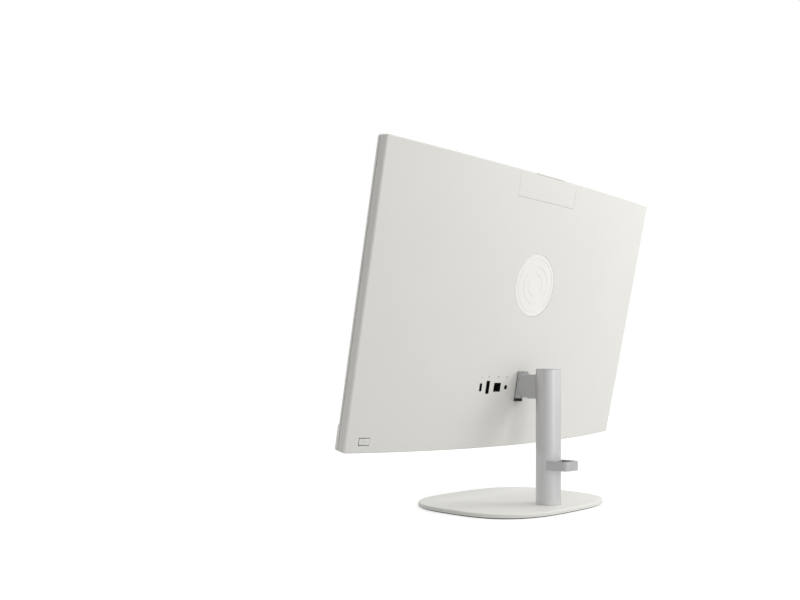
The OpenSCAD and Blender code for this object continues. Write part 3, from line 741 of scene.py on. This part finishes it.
def finish_of(name):
    """Material of a slot, made the first time that it's asked for."""
    if LOOK + name not in bpy.data.materials:
        make, *rest = FINISHES[name]
        named = rest.pop() if isinstance(rest[-1], dict) else {}
        colours = bpy.context.scene.all_in_one_colours
        make(name, *(getattr(colours, v) if isinstance(v, str) else v for v in rest), **named)
    return bpy.data.materials[LOOK + name]


# Slots of the CAD nodes, from the record.
SLOTS = {part["node"]: part["material_slot"] for part in frame["record"]["subparts"]}
BODIES = {name: body for body, names in frame["record"]["behaviour"]["bodies"].items() for name in names}


def stand_for(made, node_name):
    """Gives a piece the finish of the slot and the body of the CAD node that it stands for."""
    slot = SLOTS[node_name]
    return deploy(made, BODIES[node_name], finish_of(slot), [node_name])


def refined(node_name, width, segments=2, angle=42):
    """A CAD node's own shape with rounded edges, standing for that node."""
    return stand_for(soften(skin_of(node_name), width, segments, angle), node_name)


def sizes():
    """Edge radii and other shared sizes."""
    return bpy.context.scene.all_in_one_sizes


def bevel_where(obj, test, width, segments=4):
    """Rounds the edges whose two ends, in the head's frame, pass a test."""
    work = bmesh.new()
    work.from_mesh(obj.data)
    picked = [e for e in work.edges if test(*(HEAD_BACK @ v.co for v in e.verts))]
    how = {"offset": width, "segments": segments, "profile": 0.5, "affect": "EDGES", "clamp_overlap": True}
    bmesh.ops.bevel(work, geom=picked, **how)
    work.to_mesh(obj.data)
    work.free()


def near(a, b, reach=0.03 * MM):
    """Whether two lengths agree."""
    return abs(a - b) < reach


def at_corner(*ends):
    """Whether all the points lie at the outline's four corners."""
    return all(near(abs(p.x), HEAD_W / 2) and (near(p.z, 0) or near(p.z, HEAD_H)) for p in ends)


def cover_skin(node_name):
    """A cover with the head's rounded corners and edges, crisp openings and an exactly curved rear."""
    made = skin_of(node_name)
    s = sizes()

    def rim(a, b):
        on_rear = all(near(p.y, rear_at(p.x, p.z)) for p in (a, b))
        low_or_high = all(near(p.z, 0) for p in (a, b)) or all(near(p.z, HEAD_H) for p in (a, b))
        return on_rear and low_or_high

    def side(a, b):
        upright = all(near(abs(p.x), HEAD_W / 2) and near(p.y, 0) for p in (a, b))
        return upright and abs(a.z - b.z) > 1 * MM

    bevel_where(made, at_corner, s.corner, 5)
    bevel_where(made, rim, s.edge, 3)
    bevel_where(made, side, s.edge, 3)
    soften(made, s.opening_edge, 2, 50)
    smooth_rear(made)
    # Painted shade on the walls of the cover's seams and openings.
    shade_gaps(stand_for(made, node_name))


def shade_gaps(obj):
    """Paints shade on the walls of seams and openings in the rear surface, with a darker material."""
    obj.data.materials.append(finish_of("gap_shade"))
    turn = HEAD_BACK.to_3x3()
    for face in obj.data.polygons:
        place = HEAD_BACK @ face.center
        inside = abs(place.x) < HEAD_W / 2 - 3 * MM and 2.6 * MM < place.z < HEAD_H - 2.6 * MM
        depth = rear_at(place.x, place.z) - place.y
        level = abs((turn @ face.normal).dot(rear_normal(place.x, place.z)))
        if inside and 0 < depth < 2.7 * MM and level < 0.6:
            face.material_index = 1


class AIO_OT_covers(bpy.types.Operator):
    """Rear cover and camera cover, as moulded shells with rounded rims"""

    bl_idname = "all_in_one.covers"
    bl_label = "Covers"

    def execute(self, context):
        cover_skin("rear_cover")
        cover_skin("camera_cover")
        return {"FINISHED"}


class AIO_OT_badge(bpy.types.Operator):
    """Glossy round badge with thin plain rings"""

    bl_idname = "all_in_one.badge"
    bl_label = "Badge"

    def execute(self, context):
        middle, radius = round_box("badge_disc")[2:]
        # radius as a share, height above the rear surface in millimetres
        profile = [(1.0, -0.9), (1.0, -0.2), (0.996, -0.06), (0.99, 0.0)]
        for outer in (0.88, 0.62, 0.36):
            groove = ((0.0, 0.03), (0.006, -0.28), (0.022, -0.28), (0.028, 0.03))
            profile += [(outer - inset, height) for inset, height in groove]
        profile.append((0.05, 0.03))
        place = (middle.x, middle.z)
        rings = [rear_ring(circle(place, radius * share, 128), height * MM) for share, height in profile]
        stand_for(shade(loft("badge_skin", rings, HEAD), 50), "badge_disc")
        return {"FINISHED"}


class AIO_OT_front(bpy.types.Operator):
    """Front frame, chin, display panel and its black border"""

    bl_idname = "all_in_one.front"
    bl_label = "Front"

    def execute(self, context):
        s = sizes()

        def corner(a, b):
            return at_corner(a, b) and near(a.x, b.x) and near(a.z, b.z)

        for name in ("middle_frame", "chin_cover"):
            made = skin_of(name)
            bevel_where(made, corner, s.corner, 5)
            stand_for(soften(made, s.trim_edge, 2, 50), name)
        for name in ("lcd_panel", "lcd_border"):
            refined(name, 0.12 * MM, 2)
        refined("backlight_tray", s.trim_edge, 2)
        return {"FINISHED"}


class AIO_OT_grille(bpy.types.Operator):
    """Speaker grille of repeated bars, and the two speakers behind it"""

    bl_idname = "all_in_one.grille"
    bl_label = "Speaker grille"

    def execute(self, context):
        low, high = head_box("speaker_grille")
        finish = finish_of("grille_grey")
        pitch, bar = 2.0 * MM, 0.9 * MM
        count = int((high.x - low.x - 4 * MM) / pitch)
        rim = 0.8 * MM
        span = count * pitch
        start = -span / 2 + (pitch - bar) / 2
        floor, roof = low.z + rim, high.z - rim
        sides = ((low.x, high.x, low.z, floor), (low.x, high.x, roof, high.z))
        ends = ((low.x, -span / 2, floor, roof), (span / 2, high.x, floor, roof))
        parts = [box("rim", (x0, low.y, z0), (x1, high.y, z1)) for x0, x1, z0, z1 in sides + ends]
        bars = box("bar", (start, low.y + 0.2 * MM, floor), (start + bar, high.y, roof))
        grid(bars, finish, (count, 1), (pitch, 0, 0))
        made = join("speaker_grille_skin", parts + [bars])
        made.data.transform(HEAD)
        stand_for(soften(made, 0.12 * MM, 1), "speaker_grille")
        for name in ("speaker_left", "speaker_right"):
            refined(name, sizes().trim_edge)
        return {"FINISHED"}


class AIO_OT_sockets(bpy.types.Operator):
    """Sockets with contacts, and the signs beside them"""

    bl_idname = "all_in_one.sockets"
    bl_label = "Sockets"

    def execute(self, context):
        seen = ("usb_c_socket", "hdmi_socket", "network_socket", "dc_jack")
        for name in (*seen, "usb_a_sockets", "audio_jack"):
            refined(name, 0.15 * MM)
        refined("port_signs", 0.03 * MM, 1)
        self.liners()
        gold = finish_of("contact_gold")
        # name, contacts across and along, width, height, reach and pitch in millimetres
        rows = [
            ("network_socket", (0.0, -3.6), (1, 8), (0.6, 0.45), (0.0, 1.02), 5.0),
            ("hdmi_socket", (-0.5, -5.4), (1, 10), (0.3, 0.45), (0.0, 1.2), 4.2),
            ("usb_c_socket", (-0.4, -2.5), (1, 6), (0.25, 0.45), (0.0, 1.0), 3.6),
        ]
        for name, start, counts, thick, step, reach in rows:
            low, high = head_box(name)
            middle = (low + high) / 2
            x = middle.x + (start[0] - thick[0] / 2) * MM
            if name == "network_socket":
                x = low.x + 1.2 * MM
            z = middle.z + (start[1] - thick[1] / 2) * MM
            y = high.y - (9.6 - 0.2) * MM
            far = (x + thick[0] * MM, y + reach * MM, z + thick[1] * MM)
            made = box(f"{name}_contacts", (x, y, z), far)
            grid(made, gold, counts, (0, 0, 0), (0, 0, step[1] * MM), HEAD)
            shade(made)
            deploy(made, "head", gold)
        return {"FINISHED"}

    def liners(self):
        """Black collars that carry the sockets through the cover to its surface."""
        low, high = head_box("network_socket")
        port_z = (low.z + high.z) / 2
        # middle x, width, height and corner radius in millimetres
        openings = [(78.1, 4.5, 10.0, 1.6), (65.3, 6.4, 16.4, 0.8), (47.4, 13.0, 11.4, 0.3)]
        openings += [(30.8, 5.9, 5.9, 2.94)] + [(x, 5.8, 13.6, 0.3) for x in (-38.0, -51.0, -64.0, -77.0)]
        skin, gap = 0.45, 0.06
        # inset from the opening and height above the rear surface, in millimetres
        profile = ((gap, -2.9), (gap, -0.12), (gap + 0.1, -0.03), (skin, -0.03), (skin, -2.9))
        made = []
        for x, w, h, r in openings:
            rings = []
            for inset, depth in profile:
                half_w, half_h = (w / 2 - inset) * MM, (h / 2 - inset) * MM
                low, high = (x * MM - half_w, port_z - half_h), (x * MM + half_w, port_z + half_h)
                rings.append(rear_ring(rounded(low, high, max(r - inset, 0.12) * MM, 5), depth * MM))
            rings.append(rings[0])
            made.append(loft("liner", rings, ROW, close=False))
        liners = join("socket_liners", made)
        liners.data.transform(HEAD)
        shade(liners, 40)
        deploy(liners, "head", finish_of("socket_black"))


class AIO_OT_power_key(bpy.types.Operator):
    """Power key with a plain ring on it"""

    bl_idname = "all_in_one.power_key"
    bl_label = "Power key"

    def execute(self, context):
        made = smooth_rear(soften(skin_of("power_button"), 0.3 * MM, 3))
        # Painted shade on the walls of the key's slit.
        shade_gaps(stand_for(made, "power_button"))
        low, high = head_box("power_button")
        x, z = (low.x + high.x) / 2 + 0.8 * MM, (low.z + high.z) / 2
        profile = ((1.75, -0.2), (1.75, 0.03), (1.45, 0.03), (1.45, -0.2), (1.75, -0.2))
        rings = [rear_ring(circle((x, z), radius * MM, 48), height * MM) for radius, height in profile]
        icon = loft("power_ring", rings, HEAD, close=False)
        shade(icon, 30)
        deploy(icon, "power_key", finish_of("icon_grey"))
        refined("button_board", 0.15 * MM)
        return {"FINISHED"}


class AIO_OT_camera(bpy.types.Operator):
    """Pop-up camera with its cap, lens, rails and latch"""

    bl_idname = "all_in_one.camera"
    bl_label = "Pop-up camera"

    def execute(self, context):
        for name in ("camera_body", "camera_back", "camera_cap", "camera_rails", "camera_latch"):
            refined(name, 0.3 * MM, 3)
        refined("camera_board", 0.12 * MM)
        low, high, middle, radius = round_box("camera_lens")
        front = low.y
        # radius as a share, depth behind the front in millimetres
        rim = ((1.0, 0.25), (0.97, 0), (0.8, 0), (0.78, 0.5))
        bowl = ((0.55, 0.6), (0.5, 0.3), (0.3, 0.12), (0.1, 0.1))
        profile = [(1.0, high.y)] + [(share, front + depth * MM) for share, depth in rim + bowl]
        profile = [(share * radius, y) for share, y in profile]
        made = lathe("camera_lens_skin", profile, (middle.x, 0, middle.z), 64, HEAD, "y")
        stand_for(shade(made, 50), "camera_lens")
        return {"FINISHED"}


class AIO_OT_boards(bpy.types.Operator):
    """Chassis, boards with repeated parts, cooler with fins and fan"""

    bl_idname = "all_in_one.boards"
    bl_label = "Boards and cooler"

    def execute(self, context):
        thin = 0.2 * MM
        names = ["chassis_plate", "motherboard", "cpu_heat_plate", "heat_pipe", "blower_housing"]
        names += ["memory_modules", "ssd_card", "wifi_card", "coin_cell", "antennas", "display_cable"]
        for name in names:
            refined(name, thin)
        self.chips()
        self.fins()
        self.fan()
        return {"FINISHED"}

    def chips(self):
        """Chips in rows on the boards."""
        chip = finish_of("chip_black")
        board = head_box("motherboard")[1].y
        # name, first corner x and z, size, height, counts, steps, all in millimetres
        rows = [
            ("memory_chips", (38.0, 203.5), (8.0, 11.0), 0.9, (6, 1), (10.3, 0)),
            ("drive_chips", (-101.5, 66.0), (13.0, 16.0), 1.0, (1, 4), (0, 18.5)),
            ("radio_chips", (60.0, 154.0), (6.0, 6.0), 0.8, (2, 2), (8.5, 10.0)),
            ("regulators", (-9.0, 198.0), (3.2, 3.2), 1.6, (6, 2), (5.6, 5.6)),
            ("small_parts", (-70.0, 126.0), (1.2, 2.2), 0.7, (22, 3), (6.0, 5.0)),
        ]
        tops = {
            "memory_chips": head_box("memory_modules")[1].y,
            "drive_chips": head_box("ssd_card")[1].y,
            "radio_chips": head_box("wifi_card")[1].y,
        }
        for name, corner, size, height, counts, step in rows:
            base = tops.get(name, board)
            x, z = corner[0] * MM, corner[1] * MM
            made = box(name, (x, base, z), (x + size[0] * MM, base + height * MM, z + size[1] * MM))
            soften(made, 0.12 * MM, 1)
            grid(made, chip, counts, (step[0] * MM, 0, 0), (0, 0, step[1] * MM), HEAD)
            shade(made)
            deploy(made, "head", chip)

    def fins(self):
        """Fin stack of repeated thin sheets, with the heat pipe's channel."""
        low, high = head_box("fin_stack")
        finish = finish_of("fin_aluminium")
        pitch, thick = 2.0 * MM, 0.35 * MM
        count = int((high.x - low.x - thick) / pitch) + 1
        channel_y = head_box("heat_pipe")[0].y - 0.1 * MM
        channel_z = (low.z + high.z) / 2 - (high.z - low.z) * 0.16 + 3 * MM
        floor = 0.8 * MM
        outline = [(low.y + floor, low.z), (high.y, low.z), (high.y, channel_z)]
        outline += [(channel_y, channel_z), (channel_y, high.z), (low.y + floor, high.z)]
        sheet = prism("fins", outline, low.x, low.x + thick, "x")
        grid(sheet, finish, (count, 1), (pitch, 0, 0))
        base = box("base", (low.x, low.y, low.z), (high.x, low.y + floor, high.z))
        made = join("fin_stack_skin", [sheet, base])
        made.data.transform(HEAD)
        stand_for(shade(made), "fin_stack")

    def fan(self):
        """Impeller: hub, plate and repeated curved blades."""
        low, high, middle, radius = round_box("fan_impeller")
        outer, inner = radius - 0.4 * MM, radius * 0.56
        outline = []
        for side, steps in ((1, range(9)), (-1, range(8, -1, -1))):
            for i in steps:
                r = inner + (outer - inner) * i / 8
                a = 0.30 * (i / 8) ** 2 + side * 0.35 * MM / r
                outline.append((r * math.cos(a), r * math.sin(a)))
        depth = (high.y - low.y) / 2
        blade = prism("blades", outline, -depth + 0.6 * MM, depth - 0.2 * MM, "y")
        run_tree(blade, round_tree, {"Count": 29, "Material": finish_of("fan_black")})
        # radius as a share, then millimetres above the plate's face or below the hub's
        plate = ((0.0, 0.0), (0.98, 0.0), (1.0, 0.3), (0.98, 0.6), (0.42, 0.8))
        crown_of_hub = ((0.40, 0.8), (0.37, 0.3), (0.12, 0.0), (0.0, 0.0))
        profile = [(radius * share, -depth + rise * MM) for share, rise in plate]
        profile += [(radius * share, depth - drop * MM) for share, drop in crown_of_hub]
        hub = lathe("hub", profile, (0, 0, 0), 72, ROW, "y")
        made = join("fan_impeller_skin", [blade, hub])
        made.data.transform(HEAD @ Matrix.Translation(middle))
        stand_for(shade(made, 35), "fan_impeller")


class AIO_OT_hinge(bpy.types.Operator):
    """Tilt hinge: plate, shroud, boot, arm, pin, washers and screws"""

    bl_idname = "all_in_one.hinge"
    bl_label = "Hinge"

    def execute(self, context):
        for name in ("hinge_shroud", "arm", "arm_side_covers"):
            refined(name, sizes().trim_edge, 3, 35)
        for name in ("hinge_boot", "hinge_plate"):
            refined(name, 0.2 * MM, 2, 35)
        screws = ("hinge_screws", "cover_screws", "arm_screws", "clip_screw")
        for name in ("hinge_pin", "friction_washers", *screws):
            refined(name, 0.15 * MM)
        return {"FINISHED"}


class AIO_OT_column(bpy.types.Operator):
    """Round satin column with its cap and foot"""

    bl_idname = "all_in_one.column"
    bl_label = "Column"

    def execute(self, context):
        low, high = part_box("column_tube")
        centre = ((low.x + high.x) / 2, (low.y + high.y) / 2, 0)
        radius = (high.x - low.x) / 2
        bore = radius - 2 * MM
        soft = 0.25 * MM
        profile = [(bore, low.z), (radius - soft, low.z), (radius, low.z + soft), (radius, high.z - soft)]
        profile += [(radius - soft, high.z), (bore, high.z), (bore, low.z)]
        rings = [[(a, b, z) for a, b in circle(centre, r, 128)] for r, z in profile]
        stand_for(shade(loft("column_tube_skin", rings, ROW, close=False), 30), "column_tube")
        self.cap(centre, radius)
        refined("column_foot", 0.3 * MM)
        refined("base_screw", 0.2 * MM)
        return {"FINISHED"}

    def cap(self, centre, radius):
        """Cap with a bright bevel, a shallow ring and a plug inside the tube."""
        low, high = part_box("column_cap")
        plug = radius - 2.1 * MM
        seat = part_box("column_tube")[1].z
        profile = [(0.0, low.z), (plug, low.z), (plug, seat + 0.02 * MM)]
        profile += [(radius - 0.35 * MM, seat + 0.05 * MM), (radius - 0.05 * MM, seat + 0.2 * MM)]
        # millimetres in from the column's side and down from the top
        rim = ((0.05, 0.35), (0.5, 0.0), (2.6, 0.0), (2.7, 0.12), (3.0, 0.12), (3.1, 0.0))
        profile += [(radius - inset * MM, high.z - drop * MM) for inset, drop in rim]
        profile.append((0.0, high.z))
        stand_for(shade(lathe("column_cap_skin", profile, centre, 128), 30), "column_cap")


class AIO_OT_base(bpy.types.Operator):
    """Base plate with a smooth rounded outline, its weight and foot ring"""

    bl_idname = "all_in_one.base"
    bl_label = "Base"

    def execute(self, context):
        s = sizes()
        low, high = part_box("base_cover")
        edge = s.base_edge
        rings = []
        under = 0.4 * MM
        for inset, z in ((under, low.z), (0.0, low.z + under), (0.0, high.z - edge)):
            rings.append(self.outline(inset, z))
        for i in range(1, 6):
            a = math.pi / 2 * i / 5
            rings.append(self.outline(edge * (1 - math.cos(a)), high.z - edge + edge * math.sin(a)))
        made = loft("base_cover_skin", rings)
        weight_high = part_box("base_weight")[1]
        inset = (high.x - weight_high.x) - 0.1 * MM
        heights = (low.z - 1 * MM, weight_high.z + 0.1 * MM)
        hollow = loft("hollow", [self.outline(inset, z) for z in heights])
        cut(made, hollow)
        self.hole(made, low, high)
        stand_for(shade(made, 30), "base_cover")
        refined("base_weight", 0.3 * MM)
        refined("base_foot_ring", 0.3 * MM)
        return {"FINISHED"}

    def outline(self, inset, z):
        """Ring of points on the rounded outline, drawn in by inset."""
        low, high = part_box("base_cover")
        half_w, half_d = (high.x - low.x) / 2 - inset, (high.y - low.y) / 2 - inset
        power = 2 / 2.96
        ring = []
        for c, d in circle((0, 0), 1, sizes().outline_steps):
            x = half_w * math.copysign(abs(c) ** power, c)
            y = half_d * math.copysign(abs(d) ** power, d)
            ring.append((x, y + (low.y + high.y) / 2, z))
        return ring

    def hole(self, made, low, high):
        """Hole for the column's screw."""
        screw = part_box("base_screw")
        centre = ((screw[0].x + screw[1].x) / 2, (screw[0].y + screw[1].y) / 2, 0)
        radius, under, over = 4.1 * MM, low.z - 1 * MM, high.z + 1 * MM
        cut(made, lathe("tool", [(0, under), (radius, under), (radius, over), (0, over)], centre, 48))


class AIO_OT_clip(bpy.types.Operator):
    """Cable clip on the column"""

    bl_idname = "all_in_one.clip"
    bl_label = "Cable clip"

    def execute(self, context):
        refined("cable_clip", 0.35 * MM, 3, 35)
        return {"FINISHED"}


FLOOR_REACH = 12.0


class AIO_OT_stage(bpy.types.Operator):
    """Pale floor, soft light and the camera"""

    bl_idname = "all_in_one.stage"
    bl_label = "Stage"

    def execute(self, context):
        look = context.scene.all_in_one_stage
        self.floor(look)
        self.sky(look)
        self.lights(look)
        self.flag(look)
        self.camera(context, look)
        context.scene.view_settings.view_transform = "Standard"
        return {"FINISHED"}

    def floor(self, look):
        """Pale floor."""
        made = bpy.data.meshes.new("floor")
        corners = [(x * FLOOR_REACH, y * FLOOR_REACH, 0) for x, y in ((-1, -1), (1, -1), (1, 1), (-1, 1))]
        made.from_pydata(corners, [], [(0, 1, 2, 3)])
        obj = linked("floor", made)
        paper = moulded("floor_paper", (0.55, 0.55, 0.55), 0.7, spread=0.0, strength=0.05)
        shader = paper.node_tree.nodes["Principled BSDF"]
        shader.inputs["Emission Color"].default_value = (1, 1, 1, 1)
        seen = paper.node_tree.nodes.new("ShaderNodeLightPath").outputs["Is Camera Ray"]
        glow = maths(paper.node_tree, "MULTIPLY", seen, look.glow)
        paper.node_tree.links.new(glow, shader.inputs["Emission Strength"])
        obj.data.materials.append(paper)

    def sky(self, look):
        """White surroundings."""
        world = bpy.data.worlds.new("surroundings")
        world.use_nodes = True
        back = world.node_tree.nodes["Background"]
        back.inputs["Color"].default_value = (1, 1, 1, 1)
        back.inputs["Strength"].default_value = look.sky
        bpy.context.scene.world = world

    def lights(self, look):
        """Key from the rear right, a strip that the column mirrors, and a soft light from above."""
        rigs = (
            ("key", (-1.05, 0.92, 0.95), (-0.1, 0.05, 0.22), (0.7, 0.7), look.key),
            ("strip", (0.16, 1.5, 0.5), (0.0, 0.06, 0.15), (0.34, 1.2), look.strip),
            ("top", (0.5, 0.0, 1.5), (0.05, 0.08, 0.1), (0.8, 0.8), look.top),
        )
        for name, place, aim, size, power in rigs:
            light = bpy.data.lights.new(name, "AREA")
            light.shape = "RECTANGLE"
            light.size, light.size_y = size
            light.energy = power
            obj = linked(name, light)
            obj.location = place
            obj.rotation_euler = (Vector(place) - Vector(aim)).to_track_quat("Z", "Y").to_euler()

    def flag(self, look):
        """Dark panel beside the camera that shades the near side and the column's edge."""
        made = box("flag", (-1.0, -0.01, 0.25), (1.0, 0.01, 2.3))
        turned = Matrix.Rotation(math.radians(70), 4, "Z")
        made.data.transform(Matrix.Translation((1.35, -0.35, 0)) @ turned)
        made.data.materials.append(moulded("flag_cloth", (look.flag,) * 3, 0.9, spread=0.0))
        made.visible_camera = False

    def camera(self, context, look):
        """Camera at the given bearing round the column, level, with a vertical shift."""
        data = bpy.data.cameras.new("camera")
        data.lens = look.lens
        data.sensor_width = 36.0
        data.shift_y = look.lift
        data.clip_start = 0.05
        obj = linked("camera", data)
        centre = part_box("column_tube")
        y = (centre[0].y + centre[1].y) / 2 + look.distance * math.sin(look.bearing)
        obj.location = (look.distance * math.cos(look.bearing), y, look.height)
        obj.rotation_euler = (math.pi / 2, 0, look.bearing + look.turn + math.pi / 2)
        context.scene.camera = obj


HEAD_STEPS = (AIO_OT_covers, AIO_OT_badge, AIO_OT_front, AIO_OT_grille, AIO_OT_sockets, AIO_OT_power_key)
INNER_STEPS = (AIO_OT_camera, AIO_OT_boards, AIO_OT_hinge)
STAND_STEPS = (AIO_OT_column, AIO_OT_base, AIO_OT_clip)
STEPS = (*HEAD_STEPS, *INNER_STEPS, *STAND_STEPS, AIO_OT_stage)
GROUPS = {
    "all_in_one_sizes": AllInOneSizes,
    "all_in_one_colours": AllInOneColours,
    "all_in_one_stage": AllInOneStage,
}
CLASSES = (*GROUPS.values(), *STEPS)


class AIO_PT_panel(bpy.types.Panel):
    """Sidebar panel with every step"""

    bl_label = "All-in-one computer"
    bl_idname = "AIO_PT_panel"
    bl_space_type = "VIEW_3D"
    bl_region_type = "UI"
    bl_category = "All-in-one"

    def draw(self, context):
        for step in STEPS:
            self.layout.operator(step.bl_idname)


def register():
    """Registers the groups, the steps and the panel."""
    for cls in (*CLASSES, AIO_PT_panel):
        bpy.utils.register_class(cls)
    for name, kind in GROUPS.items():
        setattr(bpy.types.Scene, name, bpy.props.PointerProperty(type=kind))


def unregister():
    """Undoes register."""
    for name in GROUPS:
        delattr(bpy.types.Scene, name)
    for cls in reversed((*CLASSES, AIO_PT_panel)):
        bpy.utils.unregister_class(cls)


def main():
    """Builds the whole scene."""
    register()
    for step in STEPS:
        section, name = step.bl_idname.split(".")
        getattr(getattr(bpy.ops, section), name)()


if __name__ == "__main__":
    main()
